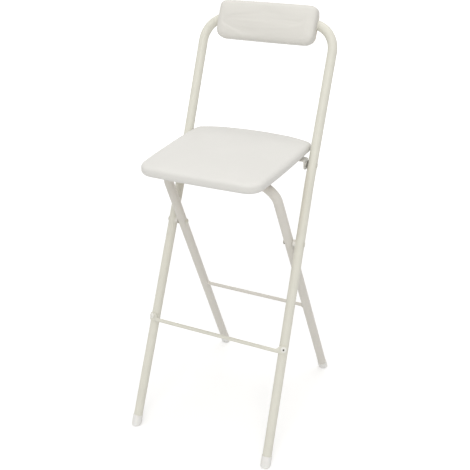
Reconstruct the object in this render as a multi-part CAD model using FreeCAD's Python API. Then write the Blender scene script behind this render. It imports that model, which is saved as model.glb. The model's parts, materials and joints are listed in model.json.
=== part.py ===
import FreeCAD, Part
import math
import os

from FreeCAD import Placement, Rotation, Vector

# Folding bar stool: a back frame and a leg frame of bent steel tube cross like scissors at two
# rivets. A padded seat hangs on the back frame in a strap with two ears and rests on the leg
# frame's crossbar. Millimetres, +Z up, the sitter faces -Y, and the origin lies on the floor
# under the middle of the footprint.

# Stock
tube_od = 22.2
tube_wall = 1.2
rod_od = 9.0
strip_thickness = 2.5

# How far each frame leans from upright, in degrees, and the feet's spacing front to rear
back_lean = 22.0
leg_lean = 27.6
foot_spread = 457.5

# Back frame, measured up its own slope from the floor
back_top = 1037.15
back_splay_top = 677.45
back_splay_spread = 13.45
back_splay_bend = 300.0

# Leg frame, measured up its own slope from the floor
leg_top = 752.2
leg_top_half_width = 138.1
leg_splay_spread = 16.43
frame_bend = 60.0

# Between the two frames' tubes at the scissor rivets
frame_gap = 4.82

# Foot caps
cap_wall = 1.2
cap_height = 25.3
cap_sole = 3.5
cap_bevel = 2.0

# Scissor rivets and seat hinge rivets
rivet_radius = 4.0
rivet_head_radius = 7.5
rivet_head_height = 3.2
rivet_tail_radius = 6.0
rivet_tail_height = 0.5
spacer_radius = 8.5
washer_radius = 6.0
hinge_up = 717.45

# The strap's ears, and the steps by which its ends drop from the seat to the ears
ear_gap = 4.6
ear_radius = 13.0
ear_step_run = 10.0
step_run = 12.0
strap_bend = 3.0

# Seat: the strap hangs from its underside, and it tilts a little up towards the rear
seat_tilt = 2.7
seat_rear = 35.5
seat_length = 295.3
seat_side_room = 4.6
seat_taper = 4.5
seat_front_bow = 3.3
seat_side_bow = 4.3
seat_rear_bow = 21.5
seat_front_corner = 38.0
seat_rear_corner = 20.0
seat_thickness = 25.5
seat_tuck = 12.0
seat_roll = 11.0
seat_crown = 6.0
seat_crown_reach = 118.0
seat_board_thickness = 9.0
seat_turned_edge = 20.0

# Back pad
pad_drop = 7.9
pad_half_width = 124.5
pad_height = 89.4
pad_bow = 0.6
pad_corner = 22.5
pad_thickness = 32.0
pad_crown = 3.0
pad_crown_reach = 36.0
pad_tuck = 2.0
pad_roll = 10.0
pad_board_thickness = 18.0
pad_turned_edge = 13.0
pad_bolt_half_spacing = 60.0

# Upholstery that both cushions share
edge_round = 12.0
skin_on_board = 1.0
lip_thickness = 1.0

# Footrest with forged ends
footrest_up = 277.95
saddle_height = 19.0
saddle_rise = 5.0
saddle_thickness = 3.0
saddle_width = 17.0
saddle_corner = 6.5
saddle_turn = 20.0
forging_length = 12.0
footrest_bolt_rise = 6.0

# Stretcher between the rear legs
stretcher_up = 297.9
weld_leg = 2.2

# Hooks that catch the crossbar
hook_width = 24.0
hook_half_spacing = 52.0
hook_flange = 30.0
hook_wrap = 28.0

# Wood screws under the seat
strap_screw_half_spacing = 52.0
strap_screw_inset = 10.0
wood_screw_radius = 2.0
wood_screw_length = 8.5
wood_screw_head_radius = 4.2
wood_screw_head_height = 2.2

# Bolts that hold the footrest and the back pad
bolt_radius = 3.0
bolt_socket_radius = 2.4
footrest_bolt_head_radius = 7.0
footrest_bolt_head_height = 2.6
footrest_bolt_length = 12.0
pad_bolt_head_radius = 5.2
pad_bolt_head_height = 3.4
pad_bolt_length = 28.0

# Clearances
slip = 0.05
running_gap = 0.1
shoulder_gap = 0.25
rest_gap = 0.2
hook_gap = 0.25
groove_gap = 0.1

# Longer than anything in the stool, for cutting tools
far = 2000.0


def sine(degrees):
    return math.sin(math.radians(degrees))


def cosine(degrees):
    return math.cos(math.radians(degrees))


# Places worked out from the driving dimensions
tube_radius = tube_od / 2
rod_radius = rod_od / 2
cap_radius = tube_radius + cap_wall
front_reach = cap_radius / cosine(back_lean)
rear_reach = foot_spread + cap_radius / cosine(leg_lean)
footprint_middle = (rear_reach - front_reach) / 2

along_x = Vector(1, 0, 0)
along_y = Vector(0, 1, 0)
along_z = Vector(0, 0, 1)

pivot_up_back = foot_spread * cosine(leg_lean) / sine(back_lean + leg_lean)
pivot_up_leg = foot_spread * cosine(back_lean) / sine(back_lean + leg_lean)

# Each frame lies in its own XZ plane, and the seat is drawn about its hinge
back_place = Placement(Vector(0, -footprint_middle, 0), Rotation(along_x, -back_lean))
leg_place = Placement(Vector(0, foot_spread - footprint_middle, 0), Rotation(along_x, leg_lean))
pivot_point = back_place.multVec(Vector(0, 0, pivot_up_back))
hinge_point = back_place.multVec(Vector(0, 0, hinge_up))
seat_place = Placement(hinge_point, Rotation(along_x, seat_tilt))
crossbar_in_seat = seat_place.inverse().multVec(leg_place.multVec(Vector(0, 0, leg_top)))
seat_drop = crossbar_in_seat.z + tube_radius + rest_gap

back_splay = math.degrees(math.atan(back_splay_spread / back_splay_top))
leg_splay = math.degrees(math.atan(leg_splay_spread / leg_top))


def leg_half_at(up):
    return leg_top_half_width + (leg_top - up) * math.tan(math.radians(leg_splay))


# How much wider than at its top the back frame's half is
def back_spread_at(up):
    return max(back_splay_top - up, 0) * math.tan(math.radians(back_splay))


back_half_at_pivot = leg_half_at(pivot_up_leg) + tube_od + frame_gap
back_half_width = back_half_at_pivot - back_spread_at(pivot_up_back)


def back_half_at(up):
    return back_half_width + back_spread_at(up)


# Places between the back frame's tubes
tube_inner_face = back_half_width - tube_radius
ear_outer_face = tube_inner_face - ear_gap
ear_inner_face = ear_outer_face - strip_thickness
ear_shoulder = rivet_head_radius + shoulder_gap + strap_bend + strip_thickness / 2
step_low_end = ear_inner_face - ear_step_run
step_high_end = step_low_end - step_run
seat_rear_half_width = tube_inner_face - seat_side_room
seat_front_half_width = seat_rear_half_width - seat_taper
seat_front = seat_length - seat_rear
pad_middle = back_top - pad_drop
footrest_bolt_up = footrest_up + footrest_bolt_rise


# The right leg's axis as a local Z, with X outward and Y to the frame's rear
def on_back_leg(up):
    splay = back_splay if up < back_splay_top else 0
    return back_place.multiply(Placement(Vector(back_half_at(up), 0, up), Rotation(along_y, -splay)))


def on_rear_leg(up):
    return leg_place.multiply(Placement(Vector(leg_half_at(up), 0, up), Rotation(along_y, -leg_splay)))


# Basic shapes
def placed(shape, place):
    moved = shape.copy()
    moved.Placement = place.multiply(shape.Placement)
    return moved


def mirrored(shape):
    return shape.mirror(Vector(0, 0, 0), along_x)


def pair(shape):
    return [shape, mirrored(shape)]


def box(low, high):
    size = high - low
    return Part.makeBox(size.x, size.y, size.z, low)


def cut_level(shape, height):
    return shape.cut(box(Vector(-far, -far, height - far), Vector(far, far, height)))


def crosswise_rod(radius, start, end, centre):
    return Part.makeCylinder(radius, end - start, Vector(start, centre.y, centre.z), along_x)


def segment(start, end):
    return Part.LineSegment(start, end).toShape()


def arc(start, middle, end):
    return Part.Arc(start, middle, end).toShape()


# Straight runs whose corners are rounded, each by its own bend
def bent_path(points, bends):
    edges = []
    last = points[0]
    for before, corner, after, bend in zip(points, points[1:], points[2:], bends):
        way_in = (corner - before).normalize()
        way_out = (after - corner).normalize()
        half_turn = way_in.getAngle(way_out) / 2
        trim = bend * math.tan(half_turn)
        inward = (way_out - way_in).normalize()
        start = corner - way_in * trim
        end = corner + way_out * trim
        middle = corner + inward * (bend / math.cos(half_turn) - bend)
        edges.append(segment(last, start))
        edges.append(arc(start, middle, end))
        last = end
    edges.append(segment(last, points[-1]))
    return Part.Wire(edges)


def swept(points, bends, radius):
    ring = Part.Wire(Part.makeCircle(radius, points[0], points[1] - points[0]))
    return bent_path(points, bends).makePipe(Part.Face(ring))


def tube(points, bends):
    return swept(points, bends, tube_radius).cut(swept(points, bends, tube_radius - tube_wall))


# A right half's points, foot first, made into a whole frame from foot to foot
def both_sides(right):
    left = [Vector(-point.x, point.y, point.z) for point in right]
    return left + right[::-1]


def spun(edges, axis):
    return Part.Face(Part.Wire(edges)).revolve(Vector(0, 0, 0), axis, 360)


# How far a low dome stands above its rim at a distance from its middle
def dome_height(distance, rim, height):
    ball = (rim ** 2 + height ** 2) / (2 * height)
    return math.sqrt(ball ** 2 - distance ** 2) - (ball - height)


# Half the outline of a low dome that stands on a face across X
def dome_arc(face, rim, height, heading):
    share = rim * 0.6
    tip = Vector(face + heading * height, 0, 0)
    flank = Vector(face + heading * dome_height(share, rim, height), 0, share)
    return tip, flank, Vector(face, 0, rim)


# A rivet along X that grips between two faces: a round head inside, a flat tail outside
def rivet(inner, outer):
    head_tip, head_flank, head_rim = dome_arc(inner, rivet_head_radius, rivet_head_height, -1)
    tail_tip, tail_flank, tail_rim = dome_arc(outer, rivet_tail_radius, rivet_tail_height, 1)
    head_neck = Vector(inner, 0, rivet_radius)
    tail_neck = Vector(outer, 0, rivet_radius)
    profile = [
        arc(head_tip, head_flank, head_rim),
        segment(head_rim, head_neck),
        segment(head_neck, tail_neck),
        segment(tail_neck, tail_rim),
        arc(tail_rim, tail_flank, tail_tip),
        segment(tail_tip, head_tip),
    ]
    return spun(profile, along_x)


# A button-headed screw that points up Z, with its head just below Z = 0
def screw(radius, length, head_radius, head_height):
    share = head_radius * 0.6
    tip = Vector(0, 0, -head_height)
    rim = Vector(head_radius, 0, 0)
    neck = Vector(radius, 0, 0)
    taper = Vector(radius, 0, length - radius / 2)
    end = Vector(radius / 2, 0, length)
    point = Vector(0, 0, length)
    profile = [
        arc(tip, Vector(share, 0, -dome_height(share, head_radius, head_height)), rim),
        segment(rim, neck),
        segment(neck, taper),
        segment(taper, end),
        segment(end, point),
        segment(point, tip),
    ]
    return spun(profile, along_z)


# A bolt with a six-sided socket in its head
def bolt(length, head_radius, head_height):
    floor = -head_height * 0.25
    corners = []
    for turn in range(0, 361, 60):
        corners.append(Vector(bolt_socket_radius * cosine(turn), bolt_socket_radius * sine(turn), floor))
    socket = Part.Face(Part.makePolygon(corners)).extrude(Vector(0, 0, -far))
    return screw(bolt_radius, length, head_radius, head_height).cut(socket)


# A wood screw with a cross recess in its head
def wood_screw():
    body = screw(wood_screw_radius, wood_screw_length, wood_screw_head_radius, wood_screw_head_height)
    floor = -wood_screw_head_height * 0.45
    arm = wood_screw_head_radius * 0.45
    blade = wood_screw_head_radius * 0.1
    for half_x, half_y in ((arm, blade), (blade, arm)):
        body = body.cut(box(Vector(-half_x, -half_y, -far), Vector(half_x, half_y, floor)))
    return body


# Upholstery outlines: four bowed sides with a round corner between each two
def bowed_side(start, end, bow):
    along = (end - start).normalize()
    outward = Vector(along.y, -along.x, 0)
    half = (end - start).Length / 2
    radius = (half ** 2 + bow ** 2) / (2 * bow)
    return (start + end) * 0.5 - outward * (radius - bow), radius


# Where two circles cross, on the side nearer to a given spot
def crossing(first, first_radius, second, second_radius, near):
    between = second - first
    gap = between.Length
    unit = between * (1 / gap)
    normal = Vector(-unit.y, unit.x, 0)
    reach = (first_radius ** 2 - second_radius ** 2 + gap ** 2) / (2 * gap)
    aside = math.sqrt(first_radius ** 2 - reach ** 2)
    spots = [first + unit * reach + normal * aside, first + unit * reach - normal * aside]
    return min(spots, key=lambda spot: (spot - near).Length)


def arc_about(centre, radius, start, end):
    outward = ((start - centre).normalize() + (end - centre).normalize()).normalize()
    return arc(start, centre + outward * radius, end)


class Outline:
    def __init__(self, front, rear, front_half, rear_half, bows, corner_radii):
        front_bow, side_bow, rear_bow = bows
        front_radius, rear_radius = corner_radii
        self.corners = [
            Vector(-front_half, front, 0),
            Vector(front_half, front, 0),
            Vector(rear_half, rear, 0),
            Vector(-rear_half, rear, 0),
        ]
        ends = self.corners[1:] + self.corners[:1]
        side_bows = (front_bow, side_bow, rear_bow, side_bow)
        self.sides = [bowed_side(a, b, bow) for a, b, bow in zip(self.corners, ends, side_bows)]
        self.radii = (front_radius, front_radius, rear_radius, rear_radius)
        self.half_short = min(front_half, rear_half, (rear - front) / 2)

    # Both tangent points, the centre and the radius of one corner
    def corner(self, index, inset):
        radius = self.radii[index] - min(inset, edge_round)
        radius = min(radius, 0.8 * (self.half_short - inset))
        before, before_radius = self.sides[index - 1]
        after, after_radius = self.sides[index]
        before_radius -= inset
        after_radius -= inset
        centre = crossing(before, before_radius - radius, after, after_radius - radius, self.corners[index])
        start = before + (centre - before).normalize() * before_radius
        end = after + (centre - after).normalize() * after_radius
        return start, end, centre, radius

    def wire(self, inset, height):
        joins = [self.corner(index, inset) for index in range(4)]
        edges = []
        for index, (start, end, centre, radius) in enumerate(joins):
            side_centre, side_radius = self.sides[index]
            next_start = joins[(index + 1) % 4][0]
            edges.append(arc_about(centre, radius, start, end))
            edges.append(arc_about(side_centre, side_radius - inset, end, next_start))
        wire = Part.Wire(edges)
        wire.translate(Vector(0, 0, height))
        return wire

    def plate(self, inset, low, high):
        return Part.Face(self.wire(inset, low)).extrude(Vector(0, 0, high - low))

    def loft(self, levels):
        return Part.makeLoft([self.wire(inset, height) for inset, height in levels], True, True)


# Inset and height of a cushion's skin: rolled in under its edge, round above, crowned on top
def skin_levels(thickness, crown, crown_reach, tuck, roll):
    levels = []
    for turn in (90, 60, 30, 0):
        levels.append((tuck * (1 - cosine(turn)), roll * (1 - sine(turn))))
    for turn in (20, 50, 76):
        inset = edge_round * (1 - cosine(turn))
        levels.append((inset, thickness - edge_round * (1 - sine(turn))))
    for share in (0.3, 1.0):
        inset = edge_round + (crown_reach - edge_round) * share
        levels.append((inset, thickness + crown * (1 - (1 - share) ** 2)))
    return levels


# Board and padding, lying on Z = 0. The padding is foam in a bonded vinyl cover, whose lip is
# turned under the board and let into its edge.
def upholstered(outline, levels, board_thickness, turned_edge):
    board_inset = levels[0][0] + skin_on_board
    face = outline.plate(turned_edge, 0, lip_thickness)
    board = face.fuse(outline.plate(board_inset, lip_thickness, board_thickness)).removeSplitter()
    return board, outline.loft(levels).cut(board)


# A bent tube frame with level-cut feet
def frame_tube(right_points, bends, place):
    whole = bends + [frame_bend, frame_bend] + bends[::-1]
    return cut_level(placed(tube(both_sides(right_points), whole), place), cap_sole)


def back_points():
    below = -cap_height
    return [
        Vector(back_half_at(below), 0, below),
        Vector(back_half_width, 0, back_splay_top),
        Vector(back_half_width, 0, back_top),
    ]


def leg_points():
    below = -cap_height
    return [Vector(leg_half_at(below), 0, below), Vector(leg_top_half_width, 0, leg_top)]


# A plastic cap round a leg's end, its sole level on the floor
def foot_cap(leg_axis):
    body = Part.makeCylinder(cap_radius, 2 * cap_height, Vector(0, 0, -cap_height))
    body = cut_level(placed(body, leg_axis), 0)
    sole_edges = [edge for edge in body.Edges if edge.BoundBox.ZMax < 0.01]
    body = body.makeChamfer(cap_bevel, sole_edges)
    bore = placed(Part.makeCylinder(tube_radius + slip, far, Vector(0, 0, -far / 2)), leg_axis)
    return body.cut(cut_level(bore, cap_sole))


# The rod's end, forged flat and bent round the leg, drawn about the leg's axis
def saddle():
    ring = Part.makeCylinder(tube_radius + saddle_thickness, 2 * saddle_height, Vector(0, 0, -saddle_height))
    ring = ring.cut(Part.makeCylinder(tube_radius, 2 * saddle_height, Vector(0, 0, -saddle_height)))
    half = saddle_width / 2
    bottom = saddle_rise - saddle_height / 2
    blank = box(Vector(-half, -tube_od, bottom), Vector(half, 0, bottom + saddle_height))
    outer_edges = [edge for edge in blank.Edges if is_outer_depth_edge(edge, half)]
    blank = blank.makeFillet(saddle_corner, outer_edges)
    blank.rotate(Vector(0, 0, 0), along_z, saddle_turn)
    return ring.common(blank)


def is_outer_depth_edge(edge, half):
    bounds = edge.BoundBox
    return bounds.XMin > half - 0.01 and bounds.YLength > tube_radius


def oval(centre, across, tall):
    if tall >= across:
        curve = Part.Ellipse(centre + Vector(0, 0, tall), centre + Vector(0, across, 0), centre)
    else:
        curve = Part.Ellipse(centre + Vector(0, across, 0), centre + Vector(0, 0, tall), centre)
    return Part.Wire(curve.toShape())


# The footrest: a round rod in front of both legs that flattens into a saddle at each end
def footrest(hole):
    axis_behind = -(tube_radius + rod_radius)
    leg_x = back_half_at(footrest_up)
    plate_behind = -(tube_radius + saddle_thickness / 2)
    end_x = leg_x - saddle_thickness
    start_x = end_x - forging_length
    steps = 6
    ovals = []
    for step in range(steps + 1):
        share = step / steps
        blend = share * share * (3 - 2 * share)
        behind = axis_behind + (plate_behind - axis_behind) * blend
        up = footrest_up + saddle_rise * blend
        across = rod_radius + (saddle_thickness / 2 - rod_radius) * blend
        tall = rod_radius + (saddle_height / 2 - rod_radius) * blend
        ovals.append(oval(Vector(start_x + forging_length * share, behind, up), across, tall))
    forging = placed(Part.makeLoft(ovals, True, False), back_place)
    shell = placed(Part.makeCylinder(tube_radius, far, Vector(0, 0, -far / 2)), on_back_leg(footrest_up))
    end = forging.cut(shell).fuse(placed(saddle(), on_back_leg(footrest_up))).cut(hole)
    middle = crosswise_rod(rod_radius, -start_x, start_x, Vector(0, axis_behind, footrest_up))
    bar = placed(middle, back_place)
    for piece in pair(end):
        bar = bar.fuse(piece)
    return bar


# The steel strap under the seat. Its ends step down and bend into ears that hang to the hinge.
def hinge_strap():
    half = strip_thickness / 2
    ear = ear_outer_face - half
    low = ear_shoulder - half
    high = seat_drop - half
    right = [
        Vector(ear, 0, -ear_radius),
        Vector(ear, 0, low),
        Vector(step_low_end, 0, low),
        Vector(step_high_end, 0, high),
    ]
    section = Part.Face(Part.makePolygon([
        Vector(-ear - half, -ear_radius, -ear_radius),
        Vector(-ear + half, -ear_radius, -ear_radius),
        Vector(-ear + half, ear_radius, -ear_radius),
        Vector(-ear - half, ear_radius, -ear_radius),
        Vector(-ear - half, -ear_radius, -ear_radius),
    ]))
    strap = bent_path(both_sides(right), [strap_bend] * 6).makePipe(section)
    side_view = crosswise_rod(ear_radius, -far / 2, far / 2, Vector(0, 0, 0)).fuse(
        box(Vector(-far / 2, -ear_radius, 0), Vector(far / 2, ear_radius, seat_drop))
    )
    return strap.common(side_view)


# A hook of steel strip that reaches over the front of the crossbar, open below and behind
def crossbar_hook():
    inner = tube_radius + hook_gap
    outer = inner + strip_thickness
    top = tube_radius + rest_gap
    ring = crosswise_rod(outer, 0, hook_width, Vector(0, 0, 0))
    flange = box(Vector(0, -outer - hook_flange, top - strip_thickness), Vector(hook_width, 0, top))
    low_y = -outer * cosine(hook_wrap) * 2
    low_z = -outer * sine(hook_wrap) * 2
    corners = [
        Vector(0, 0, 0),
        Vector(0, low_y, low_z),
        Vector(0, low_y, top - strip_thickness / 2),
        Vector(0, 0, top - strip_thickness / 2),
        Vector(0, 0, 0),
    ]
    front = Part.Face(Part.makePolygon(corners)).extrude(Vector(hook_width, 0, 0))
    shape = ring.common(front).fuse(flange)
    shape = shape.cut(crosswise_rod(inner, -1, hook_width + 1, Vector(0, 0, 0)))
    end_edges = []
    for edge in shape.Edges:
        bounds = edge.BoundBox
        if bounds.YMax < -outer - hook_flange + 0.01 and bounds.ZLength > strip_thickness * 0.9:
            end_edges.append(edge)
    shape = shape.makeFillet(hook_width / 4, end_edges)
    shape.translate(Vector(-hook_width / 2, crossbar_in_seat.y, crossbar_in_seat.z))
    return shape


def drilled(shape, tools):
    for tool in tools:
        shape = shape.cut(tool)
    return shape


def hole(radius, place, length):
    return placed(Part.makeCylinder(radius, length), place)


# The room that a level face needs beside a tube that leans sideways by its splay
def beside_splay(radius, splay):
    return radius * math.tan(math.radians(splay))


# Rivets, spacers and washers of the two hinges, right side
leg_at_pivot = leg_half_at(pivot_up_leg)
pivot_inner = leg_at_pivot - tube_radius - beside_splay(rivet_head_radius, leg_splay) - running_gap
pivot_outer = back_half_at(pivot_up_back) + tube_radius + beside_splay(rivet_tail_radius, back_splay)
spacer_inner = leg_at_pivot + tube_radius + beside_splay(spacer_radius, leg_splay) + running_gap
hinge_inner = ear_inner_face - slip
hinge_outer = back_half_at(hinge_up) + tube_radius
washer_inner = ear_outer_face + slip


# A ring between two parts, hollowed on one side to sit on the back leg's tube
def seated_ring(radius, start, up):
    ring = crosswise_rod(radius, start, back_half_at(up), Vector(0, 0, up))
    ring = ring.cut(crosswise_rod(rivet_radius + slip, start - 1, far, Vector(0, 0, up)))
    leg = placed(Part.makeCylinder(tube_radius, far, Vector(0, 0, -far / 2)), on_back_leg(up))
    return placed(ring, back_place).cut(leg)


def rivet_at(point, inner, outer):
    shape = rivet(inner, outer)
    shape.translate(Vector(0, point.y, point.z))
    return shape


def rivet_bores(point, radius):
    return [crosswise_rod(radius, -far / 2, far / 2, point)]


# Fastener places
def footrest_bolt_place():
    facing = Rotation(along_z, saddle_turn).multiply(Rotation(along_x, -90))
    seat_of_head = Rotation(along_z, saddle_turn).multVec(Vector(0, -tube_radius - saddle_thickness, 0))
    return on_back_leg(footrest_bolt_up).multiply(Placement(seat_of_head, facing))


def pad_bolt_places():
    facing = Rotation(along_x, 90)
    for x in (-pad_bolt_half_spacing, pad_bolt_half_spacing):
        yield back_place.multiply(Placement(Vector(x, tube_radius, back_top), facing))


def strap_screw_positions():
    for x in (strap_screw_half_spacing, step_high_end - strap_screw_inset):
        for side in (-1, 1):
            yield seat_place.multiply(Placement(Vector(side * x, 0, seat_drop - strip_thickness), Rotation()))


def hook_screw_positions():
    back = crossbar_in_seat.y - tube_radius - hook_gap - strip_thickness - hook_flange / 2
    for side in (-1, 1):
        spot = Vector(side * hook_half_spacing, back, seat_drop - strip_thickness)
        yield seat_place.multiply(Placement(spot, Rotation()))


def build():
    nodes = {}

    # Back frame tube with its holes
    back_tube = frame_tube(back_points(), [back_splay_bend], back_place)
    bolt_place = footrest_bolt_place()
    footrest_hole = hole(bolt_radius + slip, bolt_place, footrest_bolt_length + bolt_radius)
    pad_holes = [hole(bolt_radius + slip, place, pad_bolt_length) for place in pad_bolt_places()]
    rivet_holes = rivet_bores(pivot_point, rivet_radius + slip)
    rivet_holes += rivet_bores(hinge_point, rivet_radius + slip)
    nodes["back_frame_tube"] = drilled(back_tube, rivet_holes + pad_holes + pair(footrest_hole))

    # Footrest and its bolts
    nodes["footrest_bar"] = footrest(footrest_hole)
    footrest_bolt = bolt(footrest_bolt_length, footrest_bolt_head_radius, footrest_bolt_head_height)
    nodes["footrest_bolts"] = Part.makeCompound(pair(placed(footrest_bolt, bolt_place)))

    # Leg frame, stretcher and the four feet
    leg_tube = frame_tube(leg_points(), [], leg_place)
    nodes["leg_frame_tube"] = drilled(leg_tube, rivet_bores(pivot_point, rivet_radius + slip))
    nodes["rear_stretcher"] = stretcher()
    for name, axis in (("front", on_back_leg(0)), ("rear", on_rear_leg(0))):
        right, left = pair(foot_cap(axis))
        nodes[name + "_foot_right"] = right
        nodes[name + "_foot_left"] = left

    # Both hinges
    hinges = (
        ("pivot_rivet", rivet_at(pivot_point, pivot_inner, pivot_outer)),
        ("pivot_spacer", seated_ring(spacer_radius, spacer_inner, pivot_up_back)),
        ("seat_hinge_rivet", rivet_at(hinge_point, hinge_inner, hinge_outer)),
        ("seat_hinge_washer", seated_ring(washer_radius, washer_inner, hinge_up)),
    )
    for name, shape in hinges:
        right, left = pair(shape)
        nodes[name + "_right"] = right
        nodes[name + "_left"] = left

    nodes.update(back_pad(pad_holes))
    nodes.update(seat())
    return nodes


def stretcher():
    end = leg_half_at(stretcher_up)
    centre = Vector(0, 0, stretcher_up)
    bar = crosswise_rod(rod_radius, -end, end, centre)
    face = end - tube_radius
    for side in (-1, 1):
        start = Vector(side * (face - weld_leg), 0, stretcher_up)
        heading = Vector(side, 0, 0)
        bead_radius = rod_radius + weld_leg
        bar = bar.fuse(Part.makeCone(rod_radius, bead_radius, weld_leg, start, heading))
        bar = bar.fuse(Part.makeCylinder(bead_radius, weld_leg, start + heading * weld_leg, heading))
    bar = placed(bar, leg_place)
    leg = placed(Part.makeCylinder(tube_radius, far, Vector(0, 0, -far / 2)), on_rear_leg(stretcher_up))
    return drilled(bar, pair(leg))


# The back pad, drawn face up and stood against the frame's plane facing the sitter
def back_pad(bolt_holes):
    outline = Outline(
        -pad_height / 2, pad_height / 2, pad_half_width, pad_half_width,
        (pad_bow, pad_bow, pad_bow), (pad_corner, pad_corner),
    )
    levels = skin_levels(pad_thickness, pad_crown, pad_crown_reach, pad_tuck, pad_roll)
    stand = back_place.multiply(Placement(Vector(0, 0, pad_middle), Rotation(along_x, 90)))
    parts = upholstered(outline, levels, pad_board_thickness, pad_turned_edge)
    board, padding = [placed(part, stand) for part in parts]
    crossbar = swept(both_sides(back_points()[1:]), [frame_bend] * 2, tube_radius + groove_gap)
    crossbar = placed(crossbar, back_place)
    board = drilled(board.cut(crossbar), bolt_holes)
    pad_bolt = bolt(pad_bolt_length, pad_bolt_head_radius, pad_bolt_head_height)
    bolts = [placed(pad_bolt, place) for place in pad_bolt_places()]
    return {
        "backrest_board": board,
        "backrest_cushion": padding.cut(crossbar),
        "backrest_bolts": Part.makeCompound(bolts),
    }


def seat():
    outline = Outline(
        -seat_front, seat_rear, seat_front_half_width, seat_rear_half_width,
        (seat_front_bow, seat_side_bow, seat_rear_bow), (seat_front_corner, seat_rear_corner),
    )
    levels = skin_levels(seat_thickness, seat_crown, seat_crown_reach, seat_tuck, seat_roll)
    lie = seat_place.multiply(Placement(Vector(0, 0, seat_drop), Rotation()))
    parts = upholstered(outline, levels, seat_board_thickness, seat_turned_edge)
    board, padding = [placed(part, lie) for part in parts]
    strap_screws = [placed(wood_screw(), place) for place in strap_screw_positions()]
    hook_screws = [placed(wood_screw(), place) for place in hook_screw_positions()]
    places = list(strap_screw_positions()) + list(hook_screw_positions())
    holes = [hole(wood_screw_radius + slip, place, wood_screw_length + slip) for place in places]
    strap = drilled(placed(hinge_strap(), seat_place), holes + rivet_bores(hinge_point, rivet_radius + slip))
    nodes = {
        "seat_board": drilled(board, holes),
        "seat_cushion": padding,
        "seat_hinge_strap": strap,
        "strap_screws": Part.makeCompound(strap_screws),
        "hook_screws": Part.makeCompound(hook_screws),
    }
    for name, side in (("left", -1), ("right", 1)):
        hook = crossbar_hook()
        hook.translate(Vector(side * hook_half_spacing, 0, 0))
        nodes["crossbar_hook_" + name] = drilled(placed(hook, seat_place), holes)
    return nodes


os.makedirs("parts", exist_ok=True)
for name, shape in sorted(build().items()):
    if not shape.isValid():
        raise RuntimeError(name + " is not a sound solid")
    shape.exportStep("parts/" + name + ".step")
print("scissor pivot", round(pivot_point.y, 3), round(pivot_point.z, 3))
print("seat hinge", round(hinge_point.y, 3), round(hinge_point.z, 3))
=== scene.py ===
import json
import math

import bmesh
import bpy
from mathutils import Matrix, Vector

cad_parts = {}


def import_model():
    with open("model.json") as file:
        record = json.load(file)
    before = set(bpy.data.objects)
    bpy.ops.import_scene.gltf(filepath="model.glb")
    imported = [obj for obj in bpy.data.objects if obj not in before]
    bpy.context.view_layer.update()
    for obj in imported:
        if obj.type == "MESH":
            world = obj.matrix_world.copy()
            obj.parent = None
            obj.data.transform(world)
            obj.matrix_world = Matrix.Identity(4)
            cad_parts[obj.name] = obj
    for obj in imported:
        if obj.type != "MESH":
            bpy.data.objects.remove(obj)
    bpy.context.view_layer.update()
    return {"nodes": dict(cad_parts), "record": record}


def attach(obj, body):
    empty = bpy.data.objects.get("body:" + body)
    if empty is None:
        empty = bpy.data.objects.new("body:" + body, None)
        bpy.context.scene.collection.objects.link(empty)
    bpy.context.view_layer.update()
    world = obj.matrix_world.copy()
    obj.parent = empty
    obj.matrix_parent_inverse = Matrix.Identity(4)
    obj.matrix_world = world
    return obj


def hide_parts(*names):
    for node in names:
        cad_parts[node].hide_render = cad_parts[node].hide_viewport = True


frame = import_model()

# Folding bar stool. The CAD model's rigid pieces are shown as they come, with new finishes. The two
# cushions and a small disc at each of the seat's hinges are modelled here. Metres, +Z up, the sitter
# faces -Y.

MM = 0.001
nodes = frame["nodes"]

# Angles that the CAD model is built with: the seat's tilt, the back frame's lean, and the turn of
# the footrest's saddles round the legs
SEAT_TILT = math.radians(2.7)
BACK_LEAN = math.radians(22.0)
SADDLE_TURN = math.radians(20.0)

# How far the socket's faces, which get painted shade, reach from a footrest bolt's axis
SOCKET_REACH = 2.5 * MM

# Edges that turn by more than this stay sharp
SHARP_ANGLE = math.radians(32)

# The cushions, each as it lies on its board. The backrest's "front" is its lower edge. "bows" are
# how far the front, the two sides and the rear bulge, and "corners" are the radii at the front and
# the rear. "turned_edge" is how far the cover reaches in under the board, and LIP how thick it is
# there. "tuck" and "roll" are the width and height of the lower edge's curve. "corner_drop" is how
# much thinner the cushion is at a corner, and "corner_reach" how far from it that starts.
LIP = 1 * MM
SEAT = {
    "front": -259.8 * MM, "rear": 35.5 * MM,
    "front_half": 146.3 * MM, "rear_half": 152.0 * MM,
    "bows": (3.3 * MM, 3.7 * MM, 22.0 * MM), "corners": (38 * MM, 15 * MM),
    "thickness": 25.5 * MM, "crown": 6 * MM,
    "tuck": 12 * MM, "roll": 11 * MM, "turned_edge": 20 * MM,
    "corner_drop": 3 * MM, "corner_reach": 70 * MM,
}
PAD = {
    "front": -45.2 * MM, "rear": 44.7 * MM,
    "front_half": 123.3 * MM, "rear_half": 123.3 * MM,
    "bows": (0.6 * MM, 0.6 * MM, 0.6 * MM), "corners": (22.5 * MM, 16 * MM),
    "thickness": 31 * MM, "crown": 5 * MM,
    "tuck": 6 * MM, "roll": 12 * MM, "turned_edge": 13 * MM,
    "corner_drop": 1.5 * MM, "corner_reach": 35 * MM,
}

# How far up the back frame's slope the backrest's middle is, from the floor
PAD_MIDDLE = 1029.25 * MM

# The cushions' shoulder, tighter than the CAD cushions' 12 mm, as the photograph shows it
EDGE_ROUND = 9.5 * MM

# The crown's rings are spread over this share of the way in to the middle line
RING_REACH = 0.985

# The crown starts a little above the shoulder and is full a little before the middle
CROWN_START = 0.02
CROWN_GAIN = 1.05

# A corner's radius is at most this share of the room inside it
LARGEST_CORNER = 0.8

SIMULATED_FRAMES = 20

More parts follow.
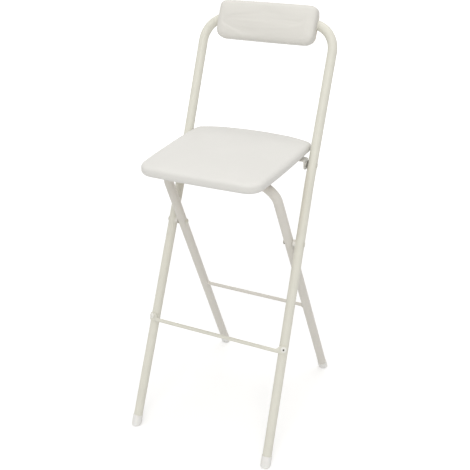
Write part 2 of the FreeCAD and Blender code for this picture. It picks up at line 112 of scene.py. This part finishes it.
# A dark disc beside each hinge ear, round the nylon washer. It stays TUBE_CLEARANCE from the middle
# line of the tube.
DISC_RADIUS = 10.2 * MM
DISC_HOLE = 6.3 * MM
DISC_PLACE = 155.0 * MM
DISC_THICKNESS = 1.6 * MM
DISC_SEGMENTS = 48
DISC_RINGS = 5
TUBE_MIDDLE = 166.5 * MM
TUBE_CLEARANCE = 11.3 * MM


def joint_place(name):
    for joint in frame["record"]["behaviour"]["joints"]:
        if joint["name"] == name:
            return Vector(joint["pos_m"])


# Node materials
def new_material(name):
    material = bpy.data.materials.new(name)
    material.use_nodes = True
    tree = material.node_tree
    shader = tree.nodes["Principled BSDF"]
    return material, tree, shader


# A new node. Each setting goes to its socket of that name, or else to its property.
def add(tree, kind, **settings):
    node = tree.nodes.new(kind)
    for key, value in settings.items():
        if key in node.inputs:
            node.inputs[key].default_value = value
        else:
            setattr(node, key, value)
    return node


def object_coordinates(tree):
    return add(tree, "ShaderNodeTexCoord").outputs["Object"]


def noise(tree, scale, detail):
    node = add(tree, "ShaderNodeTexNoise", Scale=scale, Detail=detail)
    tree.links.new(object_coordinates(tree), node.inputs["Vector"])
    return node.outputs["Fac"]


def ramp(tree, value, stops):
    node = tree.nodes.new("ShaderNodeValToRGB")
    elements = node.color_ramp.elements
    for element, (place, colour) in zip(elements, (stops[0], stops[-1])):
        element.position = place
        element.color = (*colour, 1)
    for place, colour in stops[1:-1]:
        elements.new(place).color = (*colour, 1)
    tree.links.new(value, node.inputs["Fac"])
    return node.outputs["Color"]


# Maps a value that runs from start to end onto low to high
def spread(tree, value, low, high, start=0.0, end=1.0):
    node = tree.nodes.new("ShaderNodeMapRange")
    node.inputs["From Min"].default_value = start
    node.inputs["From Max"].default_value = end
    node.inputs["To Min"].default_value = low
    node.inputs["To Max"].default_value = high
    tree.links.new(value, node.inputs["Value"])
    return node.outputs["Result"]


def bump(tree, height, strength, distance, normal=None):
    node = add(tree, "ShaderNodeBump", Strength=strength, Distance=distance)
    tree.links.new(height, node.inputs["Height"])
    if normal is not None:
        tree.links.new(normal, node.inputs["Normal"])
    return node.outputs["Normal"]


# One where the camera, a reflection or a clear piece looks at the surface, and nothing elsewhere
def looked_at(tree):
    path = add(tree, "ShaderNodeLightPath")
    total = path.outputs["Is Camera Ray"]
    for kind in ("Is Glossy Ray", "Is Transmission Ray"):
        step = add(tree, "ShaderNodeMath", operation="ADD", use_clamp=True)
        tree.links.new(total, step.inputs[0])
        tree.links.new(path.outputs[kind], step.inputs[1])
        total = step.outputs["Value"]
    return total


def shade(colour, factor):
    return tuple(channel * factor for channel in colour)


# Powder coat: warm white, faintly mottled, with an orange-peel skin
def powder_coat(name, colour):
    material, tree, shader = new_material(name)
    tone = ramp(tree, noise(tree, 26, 4), [(0.3, shade(colour, 0.965)), (0.7, colour)])
    tree.links.new(tone, shader.inputs["Base Color"])
    tree.links.new(spread(tree, noise(tree, 90, 4), 0.30, 0.44), shader.inputs["Roughness"])
    tree.links.new(bump(tree, noise(tree, 900, 2), 0.10, 0.0004), shader.inputs["Normal"])
    shader.inputs["Specular IOR Level"].default_value = 0.2
    return material


# Zinc-plated steel with a fine grain
def plated_steel():
    material, tree, shader = new_material("zinc_plate")
    tone = ramp(tree, noise(tree, 500, 3), [(0.3, (0.46, 0.45, 0.41)), (0.7, (0.62, 0.61, 0.57))])
    tree.links.new(tone, shader.inputs["Base Color"])
    tree.links.new(spread(tree, noise(tree, 1200, 2), 0.28, 0.5), shader.inputs["Roughness"])
    tree.links.new(bump(tree, noise(tree, 2500, 2), 0.12, 0.0002), shader.inputs["Normal"])
    shader.inputs["Metallic"].default_value = 1.0
    return material


# Soft translucent plastic of the foot caps
def cap_plastic():
    material, tree, shader = new_material("cap_plastic")
    tone = ramp(tree, noise(tree, 60, 3), [(0.3, (0.79, 0.78, 0.75)), (0.7, (0.84, 0.83, 0.805))])
    tree.links.new(tone, shader.inputs["Base Color"])
    tree.links.new(spread(tree, noise(tree, 180, 3), 0.38, 0.52), shader.inputs["Roughness"])
    tree.links.new(bump(tree, noise(tree, 700, 2), 0.08, 0.0003), shader.inputs["Normal"])
    shader.inputs["Subsurface Weight"].default_value = 0.25
    shader.inputs["Subsurface Radius"].default_value = (1.0, 0.95, 0.85)
    shader.inputs["Subsurface Scale"].default_value = 0.003
    return material


# White nylon of the spacers and washers
def nylon():
    material, tree, shader = new_material("nylon")
    tone = ramp(tree, noise(tree, 150, 3), [(0.3, (0.68, 0.66, 0.61)), (0.7, (0.74, 0.72, 0.67))])
    tree.links.new(tone, shader.inputs["Base Color"])
    tree.links.new(bump(tree, noise(tree, 900, 2), 0.1, 0.0002), shader.inputs["Normal"])
    shader.inputs["Roughness"].default_value = 0.5
    return material


# Painted shade for the footrest bolt's socket: near-black, dull, with a little random tone
def socket_shade_finish():
    material, tree, shader = new_material("socket_painted_shade")
    tone = ramp(tree, noise(tree, 400, 3), [(0.3, (0.036, 0.034, 0.03)), (0.7, (0.06, 0.056, 0.05))])
    tree.links.new(tone, shader.inputs["Base Color"])
    tree.links.new(spread(tree, noise(tree, 150, 3), 0.5, 0.75), shader.inputs["Roughness"])
    shader.inputs["Metallic"].default_value = 0.5
    return material


# Near-black finish of the hinge discs, a little rough
def dark_disc_finish():
    material, tree, shader = new_material("dark_disc_finish")
    tone = ramp(tree, noise(tree, 300, 3), [(0.3, (0.17, 0.164, 0.137)), (0.7, (0.20, 0.193, 0.163))])
    tree.links.new(tone, shader.inputs["Base Color"])
    tree.links.new(spread(tree, noise(tree, 200, 3), 0.5, 0.65), shader.inputs["Roughness"])
    tree.links.new(bump(tree, noise(tree, 900, 2), 0.08, 0.0002), shader.inputs["Normal"])
    shader.inputs["Specular IOR Level"].default_value = 0.3
    return material


# Raw plywood: streaks along X, pale and dull
def plywood():
    material, tree, shader = new_material("plywood")
    stretch = add(tree, "ShaderNodeMapping")
    stretch.inputs["Scale"].default_value = (4, 60, 60)
    tree.links.new(object_coordinates(tree), stretch.inputs["Vector"])
    grain = add(tree, "ShaderNodeTexNoise", Scale=3.0, Detail=6.0, Roughness=0.62, Distortion=0.6)
    tree.links.new(stretch.outputs["Vector"], grain.inputs["Vector"])
    stops = [(0.25, (0.36, 0.25, 0.15)), (0.5, (0.50, 0.37, 0.23)), (0.8, (0.60, 0.46, 0.31))]
    tree.links.new(ramp(tree, grain.outputs["Fac"], stops), shader.inputs["Base Color"])
    tree.links.new(bump(tree, grain.outputs["Fac"], 0.25, 0.0004), shader.inputs["Normal"])
    shader.inputs["Roughness"].default_value = 0.75
    return material


# Vinyl: leather grain in two sizes over a slow change of tone
def vinyl(name, colour):
    material, tree, shader = new_material(name)
    cells = add(tree, "ShaderNodeTexVoronoi", Scale=750.0, feature="DISTANCE_TO_EDGE")
    tree.links.new(object_coordinates(tree), cells.inputs["Vector"])
    grain = ramp(tree, cells.outputs["Distance"], [(0.0, (0, 0, 0)), (0.16, (1, 1, 1))])
    coarse = bump(tree, noise(tree, 240, 3), 0.10, 0.0006)
    fine = bump(tree, grain, 0.16, 0.00012, coarse)
    tree.links.new(fine, shader.inputs["Normal"])
    tone = ramp(tree, noise(tree, 9, 4), [(0.3, shade(colour, 0.975)), (0.7, colour)])
    tree.links.new(tone, shader.inputs["Base Color"])
    tree.links.new(spread(tree, noise(tree, 60, 3), 0.46, 0.60), shader.inputs["Roughness"])
    shader.inputs["Specular IOR Level"].default_value = 0.35
    shader.inputs["Sheen Weight"].default_value = 0.06
    return material


# In the photograph the leg frame is a little less yellow than the back frame, and the bolts' heads and
# the seat's strap are lighter. The leg frame's coat is the back frame's coat with painted shade: a
# little darker and less yellow.
coat = powder_coat("powder_coat", (0.714, 0.702, 0.627))
shaded_coat_legs = powder_coat("powder_coat_shaded_legs", (0.70, 0.675, 0.625))
coat_light = powder_coat("powder_coat_heads", (0.81, 0.80, 0.76))
socket = socket_shade_finish()
disc = dark_disc_finish()
steel = plated_steel()
caps = cap_plastic()
spacer = nylon()
board = plywood()
seat_vinyl = vinyl("seat_vinyl", (0.71, 0.70, 0.672))
# Painted shade: the backrest's vinyl is the seat's vinyl, a little darker and yellower
shaded_pad_vinyl = vinyl("shaded_pad_vinyl", (0.69, 0.675, 0.635))

finishes = {
    "back_frame_tube": coat, "footrest_bar": coat,
    "leg_frame_tube": shaded_coat_legs, "rear_stretcher": shaded_coat_legs,
    "seat_hinge_strap": coat_light, "crossbar_hook": coat,
    "pivot_rivet": coat, "seat_hinge_rivet": coat,
    "pivot_spacer": spacer, "seat_hinge_washer": spacer,
    "front_foot": caps, "rear_foot": caps,
    "footrest_bolts": coat_light, "backrest_bolts": steel, "strap_screws": steel, "hook_screws": steel,
    "seat_board": board, "backrest_board": board,
}


# Smooth shading, except across edges that turn by more than the sharp angle
def shade_smooth(data):
    for polygon in data.polygons:
        polygon.use_smooth = True
    data.set_sharp_from_angle(angle=SHARP_ANGLE)


# Only the two CAD cushions have no finish, because the modelled ones replace them
def dress_frame():
    for name, node in nodes.items():
        stem = name.removesuffix("_left").removesuffix("_right")
        if stem not in finishes:
            continue
        for slot in node.material_slots:
            slot.material = finishes[stem]
        shade_smooth(node.data)
    darken_socket(nodes["footrest_bolts"].data)


# The right footrest bolt shows a dark socket in the photograph, and the left one shows none. The right
# socket's faces get painted shade. A bolt is a spun shape, so its middle lies on its own axis, and its
# socket's faces are the ones close to that axis on the head's side.
def darken_socket(mesh):
    mesh.materials.append(socket)
    lean = Matrix.Rotation(-BACK_LEAN, 3, "X") @ Matrix.Rotation(SADDLE_TURN, 3, "Z")
    outward = lean @ Vector((0, -1, 0))
    faces = [face for face in mesh.polygons if face.center.x > 0]
    weight = sum(face.area for face in faces)
    middle = sum((face.center * face.area for face in faces), Vector()) / weight
    for face in faces:
        away = face.center - middle
        along = away.dot(outward)
        if along > 0 and (away - outward * along).length < SOCKET_REACH:
            face.material_index = len(mesh.materials) - 1


# A side of a cushion's outline: the centre and radius of the arc that bows out between two points
def bowed_side(start, end, bow):
    along = (end - start).normalized()
    outward = Vector((along.y, -along.x))
    half = (end - start).length / 2
    radius = (half ** 2 + bow ** 2) / (2 * bow)
    return (start + end) / 2 - outward * (radius - bow), radius


# The crossing of two circles that is closer to a point
def crossing(first, first_radius, second, second_radius, near):
    between = second - first
    gap = between.length
    unit = between / gap
    normal = Vector((-unit.y, unit.x))
    reach = (first_radius ** 2 - second_radius ** 2 + gap ** 2) / (2 * gap)
    aside = math.sqrt(first_radius ** 2 - reach ** 2)
    spots = [first + unit * reach + normal * aside, first + unit * reach - normal * aside]
    return min(spots, key=lambda spot: (spot - near).length)


# Points along an arc about a centre, the short way round, without the last one
def arc_points(centre, start, end, count):
    first = math.atan2(*(start - centre).yx)
    turn = math.atan2(*(end - centre).yx) - first
    turn = (turn + math.pi) % (2 * math.pi) - math.pi
    radius = (start - centre).length
    points = []
    for step in range(count):
        angle = first + turn * step / count
        points.append(centre + Vector((math.cos(angle), math.sin(angle))) * radius)
    return points


# The same run with evenly spaced points, without its last one
def even_points(run, count):
    lengths = [0.0]
    for before, after in zip(run, run[1:]):
        lengths.append(lengths[-1] + (after - before).length)
    points = []
    place = 0
    for step in range(count):
        wanted = lengths[-1] * step / count
        while lengths[place + 1] < wanted:
            place += 1
        share = (wanted - lengths[place]) / (lengths[place + 1] - lengths[place])
        points.append(run[place].lerp(run[place + 1], share))
    return points


# A cushion's outline: four bowed sides and four round corners, and the same further in
class Outline:
    def __init__(self, shape):
        front, rear = shape["front"], shape["rear"]
        front_half, rear_half = shape["front_half"], shape["rear_half"]
        self.corners = [
            Vector((-front_half, front)), Vector((front_half, front)),
            Vector((rear_half, rear)), Vector((-rear_half, rear)),
        ]
        front_bow, side_bow, rear_bow = shape["bows"]
        bows = (front_bow, side_bow, rear_bow, side_bow)
        ends = self.corners[1:] + self.corners[:1]
        self.sides = [bowed_side(a, b, bow) for a, b, bow in zip(self.corners, ends, bows)]
        front_radius, rear_radius = shape["corners"]
        self.radii = (front_radius, front_radius, rear_radius, rear_radius)
        self.half_short = min(front_half, rear_half, (rear - front) / 2)

    # Start, end and centre of a corner's arc
    def corner(self, index, inset):
        radius = self.radii[index] - min(inset, EDGE_ROUND)
        radius = min(radius, LARGEST_CORNER * (self.half_short - inset))
        before, before_radius = self.sides[index - 1]
        after, after_radius = self.sides[index]
        before_radius -= inset
        after_radius -= inset
        centre = crossing(
            before, before_radius - radius, after, after_radius - radius, self.corners[index]
        )
        start = before + (centre - before).normalized() * before_radius
        end = after + (centre - after).normalized() * after_radius
        return start, end, centre

    # Four equal runs of points, each from the middle of one corner to the middle of the next
    def points(self, inset, per_side):
        joins = [self.corner(index, inset) for index in range(4)]
        dense = 40
        points = []
        for index in range(4):
            start, end, centre = joins[index]
            next_start, next_end, next_centre = joins[(index + 1) % 4]
            side_centre, _ = self.sides[index]
            run = arc_points(centre, start, end, dense)[dense // 2:]
            run += arc_points(side_centre, end, next_start, dense)
            run += arc_points(next_centre, next_start, next_end, dense)[: dense // 2 + 1]
            points += even_points(run, per_side)
        return points


# Inset and height of the skin, from the lip's inner edge under the board up to the shoulder
def side_levels(shape):
    thickness, turned = shape["thickness"], shape["turned_edge"]
    tuck, roll = shape["tuck"], shape["roll"]
    levels = [(turned, LIP), (turned, 0.0)]
    for share in (0.66, 0.33):
        levels.append((tuck + (turned - tuck) * share, 0.0))
    for turn in (84, 72, 60, 48, 36, 24, 12, 0):
        angle = math.radians(turn)
        levels.append((tuck * (1 - math.cos(angle)), roll * (1 - math.sin(angle))))
    straight = thickness - EDGE_ROUND
    for share in (0.5, 1.0):
        levels.append((0.0, roll + (straight - roll) * share))
    for turn in (15, 30, 45, 60, 72):
        angle = math.radians(turn)
        inset = EDGE_ROUND * (1 - math.cos(angle))
        levels.append((inset, straight + EDGE_ROUND * math.sin(angle)))
    return levels


# The crown rises from the shoulder to the middle
def crown_height(shape, share):
    return shape["thickness"] + shape["crown"] * (1 - (1 - share) ** 2)


# The cover is pulled tight over the corners, so the padding is thinner there
def thinned(shape, outline, point, height):
    away = min((point - corner).length for corner in outline.corners)
    pull = max(0.0, 1 - away / shape["corner_reach"]) ** 2
    return height - shape["corner_drop"] * pull * height / shape["thickness"]


# Faces between two closed loops with as many points each
def join_loops(mesh, first, second):
    for index in range(len(first)):
        after = (index + 1) % len(first)
        mesh.faces.new((first[index], first[after], second[after], second[index]))


# Joins a square ring of points to the next one in, which has two fewer on each side
def join_square_rings(mesh, outer, inner):
    outer_side = len(outer) // 4
    inner_side = len(inner) // 4
    for side in range(4):
        corner = side * outer_side
        start = side * inner_side
        mesh.faces.new((outer[corner - 1], outer[corner], outer[corner + 1], inner[start]))
        for step in range(inner_side):
            a = outer[corner + 1 + step]
            b = outer[(corner + 2 + step) % len(outer)]
            c = inner[(start + step + 1) % len(inner)]
            mesh.faces.new((a, b, c, inner[start + step]))


# The scene's own piece, from a mesh that is then freed
def new_piece(name, mesh):
    bmesh.ops.recalc_face_normals(mesh, faces=mesh.faces)
    data = bpy.data.meshes.new(name)
    mesh.to_mesh(data)
    mesh.free()
    piece = bpy.data.objects.new(name, data)
    bpy.context.scene.collection.objects.link(piece)
    return piece


# A cushion's closed mesh. Its top is a square grid whose rings follow the outline.
def cushion_piece(name, shape, rings):
    outline = Outline(shape)
    mesh = bmesh.new()
    per_side = 2 * rings
    levels = side_levels(shape)
    loops = []

    def loop_at(points, height):
        loops.append([mesh.verts.new((p.x, p.y, thinned(shape, outline, p, height))) for p in points])

    for inset, height in levels:
        loop_at(outline.points(inset, per_side), height)
    shoulder = levels[-1][0]
    for ring in range(rings - 1, 0, -1):
        share = 1 - ring / rings
        inset = shoulder + (outline.half_short - shoulder) * share * RING_REACH
        height = crown_height(shape, min(share * CROWN_GAIN + CROWN_START, 1.0))
        loop_at(outline.points(inset, 2 * ring), height)
    middle = sum((v.co for v in loops[-1]), Vector()) / len(loops[-1])
    middle.z = crown_height(shape, 1.0)
    centre = mesh.verts.new(middle)
    mesh.faces.new(list(reversed(loops[0])))
    for low, high in zip(loops[: len(levels)], loops[1: len(levels)]):
        join_loops(mesh, low, high)
    for outer, inner in zip(loops[len(levels) - 1:], loops[len(levels):]):
        join_square_rings(mesh, outer, inner)
    last = loops[-1]
    for side in range(4):
        corner = 2 * side
        mesh.faces.new((last[corner - 1], last[corner], last[corner + 1], centre))
    return new_piece(name, mesh)


# Puffs the skin with a short cloth simulation, with the part round the board held still. No point
# moves further than the cap.
def puff(piece, held_below, pressure, cap):
    held = piece.vertex_groups.new(name="held")
    held.add([v.index for v in piece.data.vertices if v.co.z < held_below], 1.0, "REPLACE")
    before = [v.co.copy() for v in piece.data.vertices]
    cloth = piece.modifiers.new("Cloth", "CLOTH")
    settings = cloth.settings
    settings.quality = 6
    settings.mass = 0.3
    settings.tension_stiffness = 40
    settings.compression_stiffness = 40
    settings.shear_stiffness = 20
    settings.bending_stiffness = 8
    settings.use_pressure = True
    settings.uniform_pressure_force = pressure
    settings.vertex_group_mass = "held"
    settings.effector_weights.gravity = 0
    cloth.point_cache.frame_start = 1
    cloth.point_cache.frame_end = SIMULATED_FRAMES
    scene = bpy.context.scene
    for step in range(1, SIMULATED_FRAMES + 1):
        scene.frame_set(step)
    graph = bpy.context.evaluated_depsgraph_get()
    puffed = [v.co.copy() for v in piece.evaluated_get(graph).data.vertices]
    piece.modifiers.remove(cloth)
    scene.frame_set(1)
    for vertex, start, end in zip(piece.data.vertices, before, puffed):
        move = end - start
        if move.length > cap:
            move = move * (cap / move.length)
        vertex.co = start + move
    piece.vertex_groups.clear()


# Places a cushion, gives it its finish and lets it replace its CAD node
def finish_cushion(piece, place, material, node, body):
    piece.data.transform(place)
    piece.data.update()
    for polygon in piece.data.polygons:
        polygon.use_smooth = True
    piece.data.materials.append(material)
    subdivision = piece.modifiers.new("Subdivision", "SUBSURF")
    subdivision.levels = 1
    subdivision.render_levels = 1
    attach(piece, body)
    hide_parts(node)


def lowest_along(node, place):
    inverse = place.inverted()
    return min((inverse @ vertex.co).z for vertex in node.data.vertices)


def seat_cushion():
    about_hinge = Matrix.Translation(joint_place("seat_fold")) @ Matrix.Rotation(SEAT_TILT, 4, "X")
    underside = lowest_along(nodes["seat_board"], about_hinge)
    place = about_hinge @ Matrix.Translation((0, 0, underside))
    piece = cushion_piece("seat_pad", SEAT, rings=30)
    puff(piece, held_below=9 * MM, pressure=0.5, cap=2 * MM)
    finish_cushion(piece, place, seat_vinyl, "seat_cushion", "seat")


def back_cushion():
    pivot = joint_place("leg_fold")
    rise = pivot.z * math.tan(BACK_LEAN)
    foot = Vector((0, pivot.y - rise, 0))
    stand = Matrix.Translation(foot) @ Matrix.Rotation(-BACK_LEAN, 4, "X")
    place = stand @ Matrix.Translation((0, 0, PAD_MIDDLE)) @ Matrix.Rotation(math.radians(90), 4, "X")
    piece = cushion_piece("back_pad", PAD, rings=16)
    puff(piece, held_below=18 * MM, pressure=0.6, cap=2 * MM)
    finish_cushion(piece, place, shaded_pad_vinyl, "backrest_cushion", "back_frame")


# The photograph has a narrow dark line between the right ear and its tube, about as tall as the
# ear. A thin disc round the washer makes it, with its outer face hollowed to fit round the tube.
def hinge_disc(name, side):
    hinge = joint_place("seat_fold")
    mesh = bmesh.new()
    loops = []

    def loop_at(radius, outer_face):
        loop = []
        for step in range(DISC_SEGMENTS):
            angle = 2 * math.pi * step / DISC_SEGMENTS
            y = radius * math.cos(angle)
            z = radius * math.sin(angle)
            x = DISC_PLACE
            if outer_face:
                off_tube = y * math.cos(BACK_LEAN) - z * math.sin(BACK_LEAN)
                hollow = TUBE_MIDDLE - math.sqrt(TUBE_CLEARANCE ** 2 - off_tube ** 2)
                x = min(DISC_PLACE + DISC_THICKNESS, hollow)
            loop.append(mesh.verts.new(hinge + Vector((side * x, y, z))))
        loops.append(loop)

    loop_at(DISC_HOLE, False)
    loop_at(DISC_RADIUS, False)
    for ring in range(DISC_RINGS, -1, -1):
        loop_at(DISC_HOLE + (DISC_RADIUS - DISC_HOLE) * ring / DISC_RINGS, True)
    for first, second in zip(loops, loops[1:] + loops[:1]):
        join_loops(mesh, first, second)
    piece = new_piece(name, mesh)
    piece.data.materials.append(disc)
    shade_smooth(piece.data)
    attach(piece, "back_frame")


# Floor, half a millimetre under the feet: white to whoever looks at it, by a glow that no other ray
# sees. The glow is weaker near the stool, where the lamps light the floor, so that the stool's
# shadow still shows there.
def floor():
    bpy.ops.mesh.primitive_plane_add(size=60, location=(0, 0, -0.5 * MM))
    plane = bpy.context.active_object
    plane.name = "floor"
    material, tree, shader = new_material("floor_white")
    shader.inputs["Base Color"].default_value = (0.82, 0.82, 0.82, 1)
    shader.inputs["Roughness"].default_value = 0.9
    shader.inputs["Specular IOR Level"].default_value = 0.1
    away = add(tree, "ShaderNodeVectorMath", operation="LENGTH")
    tree.links.new(object_coordinates(tree), away.inputs[0])
    strength = spread(tree, away.outputs["Value"], 0.27, 0.62, start=1.0, end=3.5)
    glow = add(tree, "ShaderNodeMath", operation="MULTIPLY")
    tree.links.new(looked_at(tree), glow.inputs[0])
    tree.links.new(strength, glow.inputs[1])
    shader.inputs["Emission Color"].default_value = (1, 1, 1, 1)
    tree.links.new(glow.outputs["Value"], shader.inputs["Emission Strength"])
    plane.data.materials.append(material)


# World: a soft light all round, and full white to whoever looks at it
def world():
    scene = bpy.context.scene
    sky = scene.world or bpy.data.worlds.new("studio")
    scene.world = sky
    sky.use_nodes = True
    tree = sky.node_tree
    background = tree.nodes["Background"]
    background.inputs["Color"].default_value = (1.0, 0.995, 0.98, 1)
    tree.links.new(spread(tree, looked_at(tree), 0.61, 1.0), background.inputs["Strength"])


def area_light(name, place, size, power, colour=(1, 1, 1)):
    data = bpy.data.lights.new(name, "AREA")
    data.shape = "RECTANGLE"
    data.size, data.size_y = size
    data.energy = power
    data.color = colour
    light = bpy.data.objects.new(name, data)
    light.location = place
    middle = Vector((0, 0, 0.6))
    light.rotation_euler = (middle - Vector(place)).to_track_quat("-Z", "Y").to_euler()
    bpy.context.scene.collection.objects.link(light)


def lights():
    area_light("key", (1.71, -4.7, 4.6), size=(3.6, 3.6), power=142, colour=(1, 0.99, 0.97))
    area_light("fill", (-4.4, -3.0, 4.6), size=(3.6, 4.4), power=10)
    area_light("top", (0, 0.4, 5.4), size=(4.0, 4.0), power=78)


# The photograph's viewpoint
def camera():
    data = bpy.data.cameras.new("camera")
    data.lens = 60.94
    data.sensor_width = 36
    data.clip_end = 50
    eye = Vector((0.77377, -1.59821, 1.27537))
    target = Vector((-0.06139, 0.09814, 0.41902))
    view = bpy.data.objects.new("camera", data)
    view.location = eye
    view.rotation_euler = (target - eye).to_track_quat("-Z", "Y").to_euler()
    bpy.context.scene.collection.objects.link(view)
    bpy.context.scene.camera = view


dress_frame()
seat_cushion()
back_cushion()
hinge_disc("hinge_disc_left", -1)
hinge_disc("hinge_disc_right", 1)
floor()
world()
lights()
camera()
bpy.context.scene.view_settings.view_transform = "Standard"
